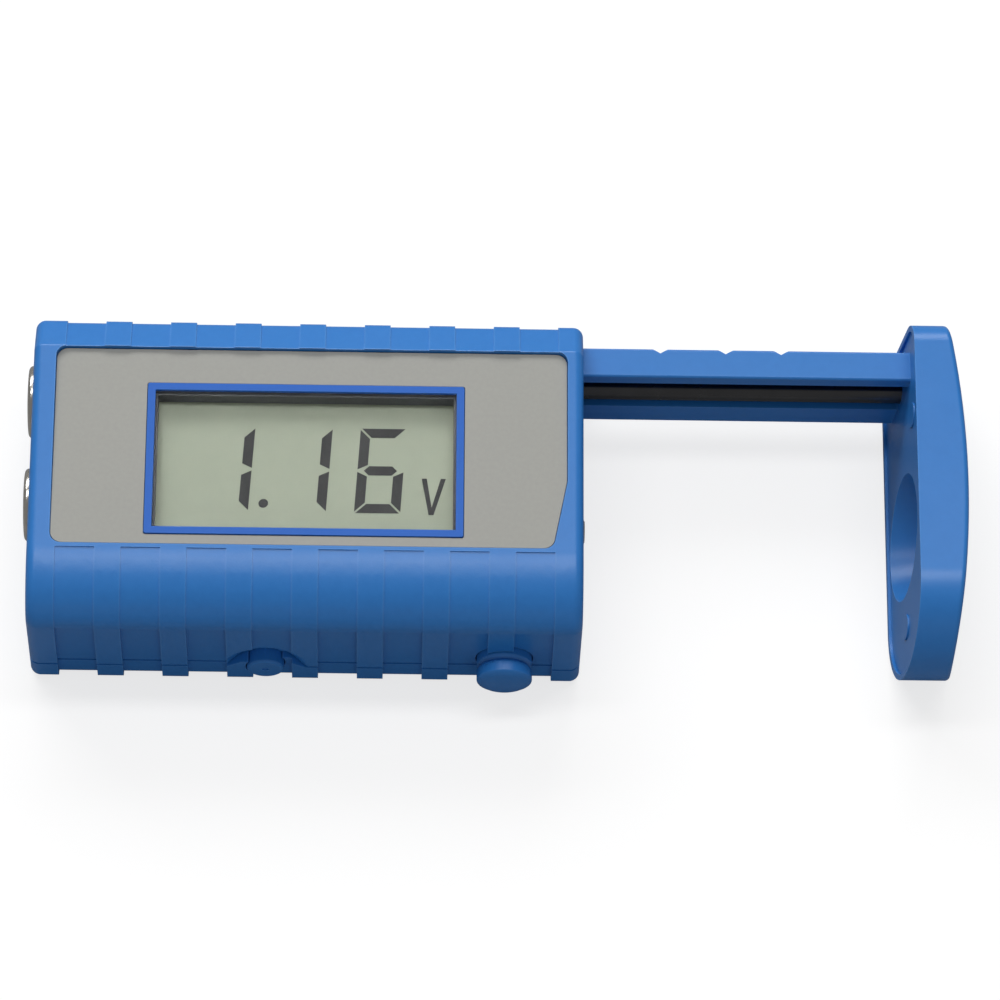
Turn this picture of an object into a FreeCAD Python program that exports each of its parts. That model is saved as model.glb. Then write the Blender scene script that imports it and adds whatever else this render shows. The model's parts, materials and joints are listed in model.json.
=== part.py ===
# Battery tester: a ribbed two-part case with a display, and a sliding arm that clamps the cell
# against the right end wall. X runs along the case towards the arm, Y to the back, Z up.
# The origin is the middle of the case's underside. All sizes are in millimetres.
import FreeCAD, Part
import math
import os

Vector = FreeCAD.Vector

# Case
case_length = 82.6
case_depth = 49.6
wall = 2.2
back_wall = 1.6
end_wall = 2.0
floor_thickness = 2.0
deck_thickness = 1.8
base_radius = 1.6
end_radius = 1.5
shoulder_height = 17.8
shoulder_reach = 10.6
back_edge_height = 22.0
back_edge_radius = 2.0
lip_radius = 0.8
cavity_front_radius = 6.0
cavity_back_radius = 4.0
cavity_floor_radius = 0.8
parting_height = 5.2
parting_gap = 0.25
tongue_thickness = 0.8
tongue_height = 0.9
tongue_clearance = 0.05

# Grip ribs: recesses between raised bands, on the front and on the back
grip_count = 8
grip_pitch = 9.75
grip_width = 5.85
grip_depth = 0.8
grip_shoulder_depth = 0.2
grip_ledge = 0.7
grip_back_depth = 0.22
front_grip_offset = 0.0
back_grip_offset = 0.5

# Face plate, sunk in the top of the case
faceplate_top = 24.2
faceplate_thickness = 0.5
faceplate_left_margin = 3.5
faceplate_right_margin = 2.5
faceplate_front_margin = 0.7
faceplate_back_margin = 6.1
faceplate_corner = 1.7
faceplate_slant = 2.1
faceplate_slant_length = 11.0
faceplate_clearance = 0.1
front_rim = 0.15
back_lip = 0.9

# Display
display_left_margin = 13.8
display_right_margin = 15.4
display_front_margin = 1.6
display_back_margin = 5.7
bezel_border = 1.15
bezel_corner = 0.35
bezel_rise = 0.2
lens_thickness = 0.8
lens_clearance = 0.1
lens_ledge = 0.3
display_depth = 3.2
glass_thickness = 1.1
glass_margin = 2.2
glass_ledge = 2.4
carrier_wall = 1.1
carrier_ledge = 0.35
carrier_clearance = 0.1
zebra_width = 1.8
zebra_height = 2.5

# Circuit board and what it carries
board_thickness = 1.6
board_left_margin = 8.5
board_right_margin = 9.5
board_front_margin = 3.1
board_back_margin = 1.6
board_corner = 1.0
board_boss_radius = 2.2
board_boss_clearance = 0.6
board_boss_y = 9.0
board_screw_radius = 0.9
board_screw_head_radius = 1.9
board_screw_head_height = 1.3
board_screw_grip = 4.0
blob_radius = 5.0
blob_height = 1.8
resistor_radius = 1.6
resistor_length = 8.0
resistor_lead_radius = 0.35
resistor_lead_reach = 2.0
resistor_drop = 2.6
resistor_place = 14.0
capacitor_radius = 2.5
capacitor_height = 7.0
capacitor_edge = 0.4
capacitor_place = (-16.0, -7.0)
trimmer_side = 6.6
trimmer_height = 4.0
trimmer_slot = 0.8
trimmer_slot_width = 0.6
trimmer_corner = 0.5
trimmer_recess_share = 0.7
trimmer_rotor_share = 0.6
trimmer_slot_share = 0.5
trimmer_rotor_sink = 0.2
trimmer_rotor_root = 0.1
trimmer_place = (-16.0, 6.0)

# Case screws and the pillars that they join
pillar_radius = 3.4
pillar_height = 6.0
case_boss_radius = 2.8
case_screw_end_margin = 5.2
case_screw_front_margin = 10.8
case_screw_left_back_margin = 18.3
case_screw_rail_margin = 7.1
case_screw_radius = 1.15
case_screw_clearance = 0.2
case_screw_head_radius = 2.1
case_screw_head_height = 1.7
case_screw_head_edge = 0.5
case_screw_sink = 4.0
case_screw_length = 12.0
pilot_clearance = 0.02
pilot_extra = 1.0

# Push buttons on the front, at the height of the parting line
button_clearance = 0.2
button_flange = 1.2
button_flange_lip = 1.5
button_flange_corner = 0.5
button_wall_gap = 0.1
button_floor_gap = 0.9
stem_radius = 1.6
stem_clearance = 0.15
stem_engagement = 0.4
switch_side = 4.5
switch_corner = 0.4
switch_depth = 3.5
switch_gap = 0.2
switch_bore_depth = 2.2
switch_board_thickness = 1.2
switch_board_left = 11.0
switch_board_end_margin = 9.0
switch_board_slot = 0.1
slot_block_thickness = 1.8
slot_block_height = 3.0
slot_block_reach = 1.6
slot_block_places = (4.0, 19.0)
test_end_margin = 11.4
test_radius = 4.15
test_rise = 2.4
test_reach = 3.7
test_travel = 1.2
test_groove_place = 1.6
test_groove_depth = 0.5
test_dome = 0.35
test_edge = 0.8
hold_x = -5.9
hold_radius = 2.8
hold_reach = 0.5
hold_travel = 0.8
hold_edge = 0.5
hold_dimple_radius = 0.5
hold_dimple_depth = 0.4
scoop_inner_radius = 3.6
scoop_outer_radius = 6.4
scoop_floor = 0.4
tab_base = 6.1
tab_top = 3.6
tab_height = 1.6

# Battery contacts on the end walls
sheet = 0.5
tab_width = 3.5
tab_clearance = 0.1
tab_overlap = 1.5
pad_radius = 5.5
pad_rise = 1.2
pad_edge = 0.6
pad_height = 12.0
pad_front_y = -1.7
pad_back_y = 15.6
cell_y = -5.0
cell_z = 12.0
cell_contact_width = 12.0
cell_contact_height = 10.0
cell_contact_corner = 1.5
cell_contact_bump = 0.5
cell_contact_bump_radius = 2.6
cell_contact_bump_share = 0.6

# Sliding arm: a channelled rail with an end plate and a contact rod
rail_back_inset = 2.4
rail_depth = 4.8
rail_bottom = 4.5
rail_height = 15.0
rail_corner = 0.4
rail_length = 79.7
rail_clearance = 0.2
channel_depth = 3.6
channel_bottom_lip = 5.0
channel_top_lip = 2.2
channel_end = 2.5
rod_radius = 1.7
rod_inset = 1.8
rod_height = 7.3
rod_clearance = 0.03
notch_depth = 0.8
notch_width = 2.6
notch_places = (19.8, 28.2, 38.1)
stop_length = 3.0
stop_height = 1.0
stop_back_margin = 1.2
stop_clearance = 0.3
cell_gap = 49.9
cell_gap_most = 66.9
guide_insets = (27.3, 47.3, 67.3)
guide_thickness = 1.6
guide_ear = 1.6
guide_ear_height = 3.0

# End plate of the arm: a crowned cap over an inner plate that is one piece with the rail
plate_front = 27.8
plate_back = 26.1
plate_bottom = 0.5
plate_height = 24.0
plate_back_corner = 4.5
plate_thickness = 5.2
plate_crown = 2.4
plate_lean = 3.0
plate_edge = 0.8
plate_rim = 0.9
plate_inset = 0.4
plate_fit = 0.05
inner_plate_thickness = 3.0
dish_mouth_radius = 10.2
dish_floor_radius = 8.2
strip_thickness = 0.4
strip_width = 9.0
strip_corner = 1.0
strip_margin = 1.0
strip_clearance = 0.05
strip_bump_radius = 3.4
strip_bump_top_radius = 1.8
strip_bump_height = 1.7
stake_radius = 1.9
stake_clearance = 0.1
stake_root = 0.5
stake_head = 0.25
stake_front_y = -20.0
stake_back_y = 11.5
stake_back_z = 20.0

# Contact springs inside the case
brush_thickness = 0.3
brush_width = 4.0
brush_end_margin = 13.6
brush_foot = 3.5
brush_drop = 2.2
brush_gap = 0.1
leaf_thickness = 0.25
leaf_gap = 0.12
leaf_end_margin = 20.0
leaf_length = 14.0
leaf_width = 6.0
leaf_height = 11.5

# Allowances for cuts that run past a face, for joined pieces and for finding edges
overshoot = 1.0
sinkage = 0.1
near = 0.01

# Faces that several pieces share
half_length = case_length / 2
front_y = -case_depth / 2
back_y = case_depth / 2
inner_front_y = front_y + wall
inner_back_y = back_y - back_wall
inner_right = half_length - end_wall
inner_left = -inner_right
deck_z = faceplate_top - faceplate_thickness
ceiling_z = deck_z - deck_thickness
front_edge_z = faceplate_top + front_rim
lip_z = faceplate_top + back_lip
shoulder_y = front_y + shoulder_reach
faceplate_left = -half_length + faceplate_left_margin
faceplate_right = half_length - faceplate_right_margin
faceplate_front = shoulder_y + faceplate_front_margin
faceplate_back = back_y - faceplate_back_margin
display_left = faceplate_left + display_left_margin
display_right = faceplate_right - display_right_margin
display_front = faceplate_front + display_front_margin
display_back = faceplate_back - display_back_margin
display_x = (display_left + display_right) / 2
display_y = (display_front + display_back) / 2
bezel_length = display_right - display_left
bezel_width = display_back - display_front
lcd_top = faceplate_top - display_depth
lcd_step = lcd_top - glass_thickness
lcd_bottom = lcd_step - glass_thickness
board_top = lcd_bottom - zebra_height
board_bottom = board_top - board_thickness
tongue_top = parting_height + tongue_height
pillar_top = floor_thickness + pillar_height
hold_z = parting_height
test_z = parting_height + test_rise
flange_front_y = inner_front_y + button_wall_gap
flange_back_y = flange_front_y + button_flange
switch_front_y = flange_back_y + test_travel + switch_gap
switch_board_y = switch_front_y + switch_depth
switch_board_right = half_length - switch_board_end_margin
test_x = half_length - test_end_margin
rail_back_y = back_y - rail_back_inset
rail_front_y = rail_back_y - rail_depth
rail_top = rail_bottom + rail_height
rail_end_x = half_length + cell_gap - rail_length
channel_bottom = rail_bottom + channel_bottom_lip
channel_top = rail_top - channel_top_lip
rod_y = rail_front_y + rod_inset
rod_z = rail_bottom + rod_height
rim_x = half_length + cell_gap
board_left = -half_length + board_left_margin
board_right = half_length - board_right_margin
board_front = inner_front_y + board_front_margin
board_back = rail_front_y - board_back_margin
brush_x = half_length - brush_end_margin
leaf_x = half_length - leaf_end_margin
inner_plate_x = rim_x + plate_inset
cap_floor_x = inner_plate_x + inner_plate_thickness
far = 60.0


def block(x0, x1, y0, y1, z0, z1):
    return Part.makeBox(x1 - x0, y1 - y0, z1 - z0, Vector(x0, y0, z0))


def along_x(radius, x0, x1, y, z):
    return Part.makeCylinder(radius, x1 - x0, Vector(x0, y, z), Vector(1, 0, 0))


def along_y(radius, y0, y1, x, z):
    return Part.makeCylinder(radius, y1 - y0, Vector(x, y0, z), Vector(0, 1, 0))


def along_z(radius, z0, z1, x, y):
    return Part.makeCylinder(radius, z1 - z0, Vector(x, y, z0), Vector(0, 0, 1))


def at_x(x):
    return lambda a, b: Vector(x, a, b)


def at_y(y):
    return lambda a, b: Vector(a, y, b)


def at_z(z):
    return lambda a, b: Vector(a, b, z)


def rect(a0, a1, b0, b1, radius=0.0):
    return [(a0, b0, radius), (a1, b0, radius), (a1, b1, radius), (a0, b1, radius)]


def rounded_face(corners, place):
    """A flat face through the corners, given as two coordinates and a corner radius."""
    entries = []
    for index, (a, b, radius) in enumerate(corners):
        point = Vector(a, b, 0)
        before = Vector(*corners[index - 1][:2], 0)
        after = Vector(*corners[(index + 1) % len(corners)][:2], 0)
        back = (before - point).normalize()
        ahead = (after - point).normalize()
        half_angle = back.getAngle(ahead) / 2
        reach = radius / math.tan(half_angle)
        middle = (back + ahead).normalize() * (radius / math.sin(half_angle) - radius)
        entries.append((point + back * reach, point + middle, point + ahead * reach, radius))
    edges = []
    for index, (start, middle, end, radius) in enumerate(entries):
        previous = entries[index - 1][2]
        if previous.distanceToPoint(start) > 1e-6:
            line = Part.LineSegment(place(previous.x, previous.y), place(start.x, start.y))
            edges.append(line.toShape())
        if radius > 0:
            arc = Part.Arc(place(start.x, start.y), place(middle.x, middle.y), place(end.x, end.y))
            edges.append(arc.toShape())
    return Part.Face(Part.Wire(edges))


def prism_x(corners, x0, x1):
    return rounded_face(corners, at_x(x0)).extrude(Vector(x1 - x0, 0, 0))


def prism_y(corners, y0, y1):
    return rounded_face(corners, at_y(y0)).extrude(Vector(0, y1 - y0, 0))


def prism_z(corners, z0, z1):
    return rounded_face(corners, at_z(z0)).extrude(Vector(0, 0, z1 - z0))


def fuse(first, *others):
    return first.multiFuse(list(others)).removeSplitter()


def cut(shape, *tools):
    return shape.cut(Part.makeCompound(list(tools)))


def fillet_where(shape, radius, test):
    return shape.makeFillet(radius, [edge for edge in shape.Edges if test(edge)])


def turned_y(points, x, z):
    """A solid of revolution about a line along Y, from points of (y, radius)."""
    wire = Part.makePolygon([Vector(x + radius, y, z) for y, radius in points])
    closed = Part.Wire(wire.Edges + [Part.makeLine(wire.Vertexes[-1].Point, wire.Vertexes[0].Point)])
    return Part.Face(closed).revolve(Vector(x, 0, z), Vector(0, 1, 0), 360)


def display_rect(length, width, radius=0.0):
    return rect(display_x - length / 2, display_x + length / 2,
                display_y - width / 2, display_y + width / 2, radius)


def case_outline(front_inset, shoulder_inset, back_inset, ledge):
    """The case's section across its length, as edges at the left end."""
    place = at_x(-half_length)
    wall_y = front_y + front_inset
    curve_y = front_y + shoulder_inset
    curve_top = front_edge_z - shoulder_inset
    rear_y = back_y - back_inset
    lip_y = faceplate_back + faceplate_clearance
    slope = (lip_z - back_inset - curve_top) / (lip_y - shoulder_y)
    corner_z = curve_top + slope * (curve_y - shoulder_y)
    shoulder = Part.BezierCurve()
    shoulder.setPoles([place(curve_y, shoulder_height), place(curve_y, corner_z),
                       place(shoulder_y, curve_top)])
    shoulder.setWeight(2, math.sqrt(0.5))
    rest = [(lip_y, lip_z - back_inset, lip_radius),
            (rear_y, back_edge_height - back_inset, back_edge_radius),
            (rear_y, 0.0, base_radius),
            (wall_y, 0.0, base_radius)]
    if ledge:
        rest.append((wall_y, shoulder_height - ledge, 0.0))
    filled = rounded_face([(curve_y, shoulder_height, 0.0), (shoulder_y, curve_top, 0.0)] + rest, place)
    chord_ends = (place(curve_y, shoulder_height), place(shoulder_y, curve_top))
    edges = [edge for edge in filled.OuterWire.OrderedEdges
             if not all(any(vertex.Point.isEqual(end, 1e-6) for end in chord_ends)
                        for vertex in edge.Vertexes)]
    return Part.Face(Part.Wire(Part.__sortEdges__(edges + [shoulder.toShape()])))


def grip_relief(first_x, y0, y1, channel):
    """The recesses of one side: a row of gaps around the deeper section."""
    gaps = []
    for index in range(grip_count):
        x0 = first_x + index * grip_pitch
        x1 = x0 + grip_width
        gaps.append(block(x0, x1, y0, y1, -far, far).cut(channel))
    return gaps


def case_body():
    """The outside of the closed case, with its grip ribs."""
    length = Vector(case_length, 0, 0)
    bands = case_outline(0.0, 0.0, 0.0, 0.0).extrude(length)
    end_round = min(end_radius, 0.95 * base_radius)
    bands = fillet_where(bands, end_round, lambda edge: edge.BoundBox.XLength < near and all(
        abs(abs(vertex.X) - half_length) < near for vertex in edge.Vertexes))
    channel = case_outline(grip_depth, grip_shoulder_depth, grip_back_depth, grip_ledge).extrude(length)
    row = (grip_count - 1) * grip_pitch + grip_width
    front_first = front_grip_offset - row / 2
    back_first = back_grip_offset - row / 2
    gaps = grip_relief(front_first, -far, shoulder_y, channel)
    gaps += grip_relief(back_first, faceplate_back, far, channel)
    return cut(bands, *gaps)


def cavity():
    return prism_x([(inner_front_y, floor_thickness, cavity_floor_radius),
                    (inner_front_y, ceiling_z, cavity_front_radius),
                    (inner_back_y, ceiling_z, cavity_back_radius),
                    (inner_back_y, floor_thickness, cavity_floor_radius)], inner_left, inner_right)


def tongue_ring(grow, z0, z1):
    outer = rect(inner_left - grow, inner_right + grow, inner_front_y - grow, inner_back_y + grow)
    inner = rect(inner_left, inner_right, inner_front_y, inner_back_y)
    return prism_z(outer, z0, z1).cut(prism_z(inner, z0, z1))


def scoop_tab(grow):
    """The tapered tab of the lower shell that carries the hold button."""
    base_z = parting_height - parting_gap
    top_z = parting_height + tab_height + grow
    return prism_y([(hold_x - tab_base - grow, base_z, 0.0), (hold_x + tab_base + grow, base_z, 0.0),
                    (hold_x + tab_top + grow, top_z, 0.0), (hold_x - tab_top - grow, top_z, 0.0)],
                   front_y - overshoot, inner_front_y)


def finger_scoop():
    inner_y = inner_front_y - scoop_floor
    return Part.makeCone(scoop_inner_radius, scoop_outer_radius, inner_y - front_y,
                         Vector(hold_x, inner_y, hold_z), Vector(0, -1, 0))


def button_bores():
    """Bores for both buttons, deep enough for their travel past the wall."""
    test_bore = along_y(test_radius + button_clearance, front_y - overshoot,
                        inner_front_y + test_travel + button_clearance, test_x, test_z)
    hold_bore = along_y(hold_radius + button_clearance, front_y - overshoot,
                        inner_front_y + hold_travel + button_clearance, hold_x, hold_z)
    return [test_bore, hold_bore]


def rail_opening():
    return block(inner_right - overshoot, half_length + overshoot,
                 rail_front_y - rail_clearance, rail_back_y + rail_clearance,
                 rail_bottom - rail_clearance, rail_top + rail_clearance)


def cell_contact_rect(grow):
    half_width = cell_contact_width / 2 + grow
    half_height = cell_contact_height / 2 + grow
    return rect(cell_y - half_width, cell_y + half_width, cell_z - half_height, cell_z + half_height,
                cell_contact_corner)


def contact_slots():
    """Slots in the end walls for the contacts' tabs, and the pocket of the cell's contact."""
    half = tab_width / 2 + tab_clearance
    z0 = board_bottom - sheet - tab_clearance
    z1 = board_bottom + tab_clearance
    slots = [block(-half_length - overshoot, inner_left + overshoot, y - half, y + half, z0, z1)
             for y in (pad_front_y, pad_back_y)]
    slots.append(block(inner_right - overshoot, half_length + overshoot,
                       cell_y - half, cell_y + half, z0, z1))
    pocket = prism_x(cell_contact_rect(tab_clearance), half_length - sheet, half_length + overshoot)
    return slots + [pocket]


def case_screw_places():
    x = half_length - case_screw_end_margin
    front = front_y + case_screw_front_margin
    return [(-x, front), (x, front), (-x, back_y - case_screw_left_back_margin),
            (x, rail_front_y - case_screw_rail_margin)]


def board_screw_places():
    side = (bezel_length / 2 - bezel_border + glass_margin + carrier_wall
            + board_boss_radius + board_boss_clearance)
    return [(display_x + along * side, display_y + across * board_boss_y)
            for along in (-1, 1) for across in (-1, 1)]


def faceplate_outline(grow):
    right = faceplate_right + grow
    front = faceplate_front - grow
    back = faceplate_back + grow
    left = faceplate_left - grow
    return [(left, front, faceplate_corner),
            (right - faceplate_slant, front, faceplate_corner),
            (right, front + faceplate_slant_length, 0.0),
            (right, back, faceplate_corner),
            (left, back, faceplate_corner)]


def carrier_tower():
    """Length and width of the part of the display carrier that stands in the deck's window."""
    return (bezel_length - 2 * carrier_ledge, bezel_width - 2 * carrier_ledge)


def top_shell(body):
    tower_length, tower_width = carrier_tower()
    shell = cut(body,
                block(-far, far, -far, far, -far, parting_height),
                scoop_tab(parting_gap),
                cavity(),
                tongue_ring(tongue_thickness + tongue_clearance, 0.0, tongue_top),
                prism_z(faceplate_outline(faceplate_clearance), deck_z, far),
                prism_z(display_rect(tower_length + 2 * carrier_clearance,
                                     tower_width + 2 * carrier_clearance), ceiling_z - overshoot, far),
                finger_scoop(), rail_opening(), *button_bores(), *contact_slots())
    boss_root = deck_z - deck_thickness / 2
    bosses = [along_z(case_boss_radius, pillar_top, boss_root, x, y) for x, y in case_screw_places()]
    bosses += [along_z(board_boss_radius, board_top, boss_root, x, y) for x, y in board_screw_places()]
    pilots = []
    for x, y in case_screw_places():
        tip = case_screw_sink + case_screw_length + pilot_extra
        pilots.append(along_z(case_screw_radius + pilot_clearance, pillar_top, tip, x, y))
    for x, y in board_screw_places():
        tip = board_top + board_screw_grip + pilot_extra
        pilots.append(along_z(board_screw_radius + pilot_clearance, board_top, tip, x, y))
    return cut(fuse(shell, *bosses), *pilots)


def rail_guide(x):
    """A saddle on the floor that carries the rail and keeps it straight."""
    front = rail_front_y - rail_clearance
    seat = rail_bottom - rail_clearance
    saddle = block(x - guide_thickness / 2, x + guide_thickness / 2, front - guide_ear, inner_back_y,
                   floor_thickness, seat + guide_ear_height)
    path = block(x - guide_thickness, x + guide_thickness, front, rail_back_y + rail_clearance, seat, far)
    return saddle.cut(path)


def slot_block(x):
    """A floor block with a slot for the foot of the switch board."""
    middle = switch_board_y + switch_board_thickness / 2
    half = switch_board_thickness / 2 + switch_board_slot
    top = floor_thickness + slot_block_height
    solid = block(x - slot_block_thickness / 2, x + slot_block_thickness / 2,
                  middle - half - slot_block_reach, middle + half + slot_block_reach,
                  floor_thickness, top)
    slot = block(x - slot_block_thickness, x + slot_block_thickness, middle - half, middle + half,
                 floor_thickness, top + overshoot)
    return solid.cut(slot)


def bottom_shell(body):
    base_z = parting_height - parting_gap
    lower = fuse(block(-far, far, -far, far, -far, base_z), scoop_tab(0.0))
    shell = body.common(lower).cut(cavity())
    tongue = tongue_ring(tongue_thickness, floor_thickness, tongue_top)
    pillars = [along_z(pillar_radius, floor_thickness / 2, pillar_top, x, y).common(
        block(inner_left - end_wall / 2, inner_right + end_wall / 2, -far, far, -far, far))
        for x, y in case_screw_places()]
    corner_trim = block(-far, far, -far, far, tongue_top, far)
    guides = [rail_guide(inner_right - inset) for inset in guide_insets]
    slots = [slot_block(x) for x in slot_block_places]
    walls = fuse(shell, tongue)
    inside = [piece.cut(corner_trim.cut(cavity())) for piece in pillars]
    shell = fuse(walls, *inside, *guides, *slots)
    holes = []
    for x, y in case_screw_places():
        holes.append(along_z(case_screw_head_radius + case_screw_clearance, -1.0, case_screw_sink, x, y))
        holes.append(along_z(case_screw_radius + case_screw_clearance, -1.0, pillar_top + overshoot, x, y))
    return cut(shell, rail_opening(), *button_bores(), *holes)


def faceplate():
    plate = prism_z(faceplate_outline(0.0), deck_z, faceplate_top)
    window = prism_z(display_rect(bezel_length + 2 * lens_clearance, bezel_width + 2 * lens_clearance,
                                  bezel_corner), deck_z - overshoot, faceplate_top + overshoot)
    return plate.cut(window)


def lens_size(grow):
    return (bezel_length - 2 * bezel_border - 2 * lens_clearance + 2 * grow,
            bezel_width - 2 * bezel_border - 2 * lens_clearance + 2 * grow)


def display_bezel():
    top = faceplate_top + bezel_rise
    frame = prism_z(display_rect(bezel_length, bezel_width, bezel_corner), deck_z, top)
    window = prism_z(display_rect(*lens_size(lens_clearance)), deck_z - overshoot, top + overshoot)
    return frame.cut(window)


def display_lens():
    return prism_z(display_rect(*lens_size(0.0)), faceplate_top - lens_thickness, faceplate_top)


def glass_size():
    return (bezel_length - 2 * bezel_border + 2 * glass_margin,
            bezel_width - 2 * bezel_border + 2 * glass_margin)


def lcd_carrier():
    """Dark frame: a tower up to the bezel that seats the lens, over a pocket for the display."""
    tower = prism_z(display_rect(*carrier_tower()), lcd_top, deck_z)
    glass_length, glass_width = glass_size()
    pocket_length = glass_length + 2 * carrier_clearance
    pocket_width = glass_width + 2 * carrier_clearance
    skirt = prism_z(display_rect(pocket_length + 2 * carrier_wall, pocket_width + 2 * carrier_wall),
                    board_top, ceiling_z)
    lens_length, lens_width = lens_size(0.0)
    seat = prism_z(display_rect(*lens_size(lens_clearance)), faceplate_top - lens_thickness, far)
    opening = prism_z(display_rect(lens_length - 2 * lens_ledge, lens_width - 2 * lens_ledge), 0.0, far)
    pocket = prism_z(display_rect(pocket_length, pocket_width), 0.0, lcd_top)
    return cut(fuse(tower, skirt), seat, opening, pocket)


def lcd_panel():
    length, width = glass_size()
    front_glass = prism_z(display_rect(length, width), lcd_step, lcd_top)
    rear_glass = prism_z(display_rect(length, width - 2 * glass_ledge), lcd_bottom, lcd_step)
    return fuse(front_glass, rear_glass)


def zebra_strips():
    length, width = glass_size()
    strips = []
    for side in (-1, 1):
        middle = display_y + side * (width / 2 - glass_ledge / 2)
        strips.append(block(display_x - length / 2, display_x + length / 2,
                            middle - zebra_width / 2, middle + zebra_width / 2, board_top, lcd_step))
    return Part.makeCompound(strips)


def circuit_board():
    board = prism_z(rect(board_left, board_right, board_front, board_back, board_corner),
                    board_bottom, board_top)
    holes = [along_z(board_screw_radius + case_screw_clearance,
                     board_bottom - overshoot, board_top + overshoot, x, y)
             for x, y in board_screw_places()]
    return cut(board, *holes)


def board_screws():
    screws = []
    for x, y in board_screw_places():
        head = along_z(board_screw_head_radius, board_bottom - board_screw_head_height, board_bottom, x, y)
        shank = along_z(board_screw_radius, board_bottom - sinkage, board_top + board_screw_grip, x, y)
        screws.append(fuse(head, shank))
    return Part.makeCompound(screws)


def chip_blob():
    """The drop of resin over the chip, under the board."""
    sphere_radius = (blob_radius ** 2 + blob_height ** 2) / (2 * blob_height)
    centre = Vector(display_x, display_y, board_bottom - blob_height + sphere_radius)
    ball = Part.makeSphere(sphere_radius, centre)
    return ball.cut(block(-far, far, -far, far, board_bottom, far))


def load_resistor():
    x = display_x + resistor_place
    z = board_bottom - resistor_drop
    half = resistor_length / 2
    lead_x = half + resistor_lead_reach
    body = fillet_where(along_x(resistor_radius, x - half, x + half, display_y, z), resistor_radius / 3,
                        lambda edge: edge.Closed)
    wire = along_x(resistor_lead_radius, x - lead_x, x + lead_x, display_y, z)
    legs = [along_z(resistor_lead_radius, z, board_bottom, x + side * lead_x, display_y) for side in (-1, 1)]
    knees = [Part.makeSphere(resistor_lead_radius, Vector(x + side * lead_x, display_y, z))
             for side in (-1, 1)]
    return fuse(body, wire, *legs, *knees)


def filter_capacitor():
    aside, ahead = capacitor_place
    can = along_z(capacitor_radius, board_bottom - capacitor_height, board_bottom,
                  display_x + aside, display_y + ahead)
    return fillet_where(can, capacitor_edge,
                        lambda edge: edge.Closed and edge.BoundBox.ZMax < board_bottom - near)


def calibration_trimmer():
    x = display_x + trimmer_place[0]
    y = display_y + trimmer_place[1]
    half = trimmer_side / 2
    half_slot = half * trimmer_slot_share
    slot_side = trimmer_slot_width / 2
    base_z = board_bottom - trimmer_height
    case = prism_z(rect(x - half, x + half, y - half, y + half, trimmer_corner), base_z, board_bottom)
    recess = along_z(half * trimmer_recess_share, base_z - overshoot, base_z + trimmer_slot, x, y)
    rotor = along_z(half * trimmer_rotor_share, base_z + trimmer_rotor_sink,
                    base_z + trimmer_slot + trimmer_rotor_root, x, y)
    slot = block(x - half_slot, x + half_slot, y - slot_side, y + slot_side,
                 base_z, base_z + trimmer_slot - trimmer_rotor_sink)
    return fuse(case.cut(recess), rotor.cut(slot))


def case_screws():
    screws = []
    for x, y in case_screw_places():
        head_z = case_screw_sink - case_screw_head_height
        head = along_z(case_screw_head_radius, head_z, case_screw_sink, x, y)
        head = fillet_where(head, case_screw_head_edge,
                            lambda edge: edge.Closed and edge.BoundBox.ZMax < case_screw_sink - near)
        shank = along_z(case_screw_radius, case_screw_sink - sinkage,
                        case_screw_sink + case_screw_length, x, y)
        screws.append(fuse(head, shank))
    return Part.makeCompound(screws)


def switch_board():
    return block(-switch_board_left, switch_board_right,
                 switch_board_y, switch_board_y + switch_board_thickness,
                 floor_thickness, board_bottom)


def push_switch(x, z):
    half = switch_side / 2
    body = prism_y(rect(x - half, x + half, z - half, z + half, switch_corner),
                   switch_front_y, switch_board_y)
    bore = along_y(stem_radius + stem_clearance, switch_front_y - overshoot,
                   switch_front_y + switch_bore_depth, x, z)
    return body.cut(bore)


def button_guide(x, z, radius):
    """The retaining flange behind the wall, and the stem into the switch."""
    half = radius + button_flange_lip
    flange = prism_y(rect(x - half, x + half, floor_thickness + button_floor_gap, z + half,
                          button_flange_corner), flange_front_y, flange_back_y)
    stem = along_y(stem_radius, flange_back_y, switch_front_y + stem_engagement, x, z)
    return fuse(flange, stem)


def test_button():
    wall_y = front_y + grip_depth
    groove_y = wall_y - test_groove_place
    face_y = front_y - test_reach
    cap = turned_y([(flange_front_y, 0.0), (flange_front_y, test_radius),
                    (groove_y + test_groove_depth, test_radius), (groove_y, test_radius - test_groove_depth),
                    (groove_y - test_groove_depth, test_radius), (face_y + test_edge, test_radius),
                    (face_y + test_dome, test_radius - test_edge),
                    (face_y + test_dome / 4, test_radius / 2), (face_y, 0.0)], test_x, test_z)
    return fuse(cap, button_guide(test_x, test_z, test_radius))


def hold_button():
    face_y = front_y - hold_reach
    cap = along_y(hold_radius, face_y, flange_front_y, hold_x, hold_z)
    cap = fillet_where(cap, hold_edge, lambda edge: edge.Closed and edge.BoundBox.YMax < face_y + near)
    dimple = along_y(hold_dimple_radius, face_y - overshoot, face_y + hold_dimple_depth, hold_x, hold_z)
    return fuse(cap.cut(dimple), button_guide(hold_x, hold_z, hold_radius))


def contact_tab(x0, x1, y):
    half = tab_width / 2
    return block(x0, x1, y - half, y + half, board_bottom - sheet, board_bottom)


def nine_volt_contact(y):
    """A round pressed pad outside the left wall, with a tab through it to the board."""
    outer_x = -half_length - pad_rise
    dome = along_x(pad_radius, outer_x, -half_length, y, pad_height)
    dome = fillet_where(dome, pad_edge, lambda edge: edge.Closed and edge.BoundBox.XMax < outer_x + near)
    hollow = along_x(pad_radius - sheet, outer_x + sheet, -half_length + overshoot, y, pad_height)
    hollow = fillet_where(hollow, pad_edge - sheet / 2,
                          lambda edge: edge.Closed and edge.BoundBox.XMax < outer_x + sheet + near)
    tab = contact_tab(outer_x + sheet, board_left + tab_overlap, y)
    return fuse(dome.cut(hollow), tab)


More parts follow.
